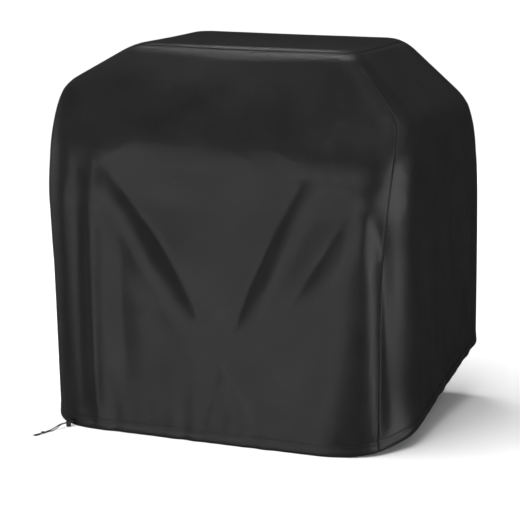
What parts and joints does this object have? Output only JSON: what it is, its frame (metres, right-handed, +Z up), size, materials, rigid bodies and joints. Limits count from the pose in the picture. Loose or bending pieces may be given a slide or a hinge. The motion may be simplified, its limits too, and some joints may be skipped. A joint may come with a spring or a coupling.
{
  "type": "grill cover",
  "caption": "Fitted black fabric cover for a barbecue cart: tapered skirt with a hipped flat top, open underneath, drawn in by a hem cord with a spring cord lock.",
  "frame": {"origin": "on the ground under the middle of the cover, which stands on its own hem", "axes": "+Z up, +X to the right of someone facing the front, so the front faces -Y and the cover's width runs along X"},
  "size_m": [1.004, 0.8556, 1],
  "materials": {
    "cover_fabric": "coated woven polyester, satin black",
    "seam_binding": "woven black binding tape",
    "drawcord": "braided black polyester cord",
    "eyelet": "black enamelled, satin",
    "lock_plastic": "moulded black, fine grain",
    "spring_steel": "bright spring wire"
  },
  "bodies": {
    "cover": {"front_panel": "cover_fabric", "right_panel": "cover_fabric", "back_panel": "cover_fabric", "left_panel": "cover_fabric", "top_panel": "cover_fabric", "front_hem_casing": "cover_fabric", "right_hem_casing": "cover_fabric", "back_hem_casing": "cover_fabric", "left_hem_casing": "cover_fabric", "front_left_seam_binding": "seam_binding", "front_right_seam_binding": "seam_binding", "back_right_seam_binding": "seam_binding", "back_left_seam_binding": "seam_binding", "top_seam_binding": "seam_binding", "drawcord_in_hem": "drawcord", "left_eyelet": "eyelet", "left_eyelet_washer": "eyelet", "right_eyelet": "eyelet", "right_eyelet_washer": "eyelet", "left_cord_strand": "drawcord", "right_cord_strand": "drawcord", "left_cord_tail": "drawcord", "right_cord_tail": "drawcord", "cord_knot": "drawcord"},
    "cord_lock": {"cord_lock_body": "lock_plastic", "cord_lock_spring": "spring_steel"},
    "plunger": {"cord_lock_plunger": "lock_plastic"}
  },
  "joints": [
    {"name": "lock_on_cord", "type": "slide", "parent": "cover", "child": "cord_lock", "axis": [-0.3827, -0.9239, 0], "range_m": [0, 0.013]},
    {"name": "plunger_press", "type": "slide", "parent": "cord_lock", "child": "plunger", "axis": [0, 0, -1], "range_m": [0, 0.0032], "stiffness_N_per_m": 600, "springref_m": -0.004, "deforming": ["cord_lock_spring"]}
  ]
}
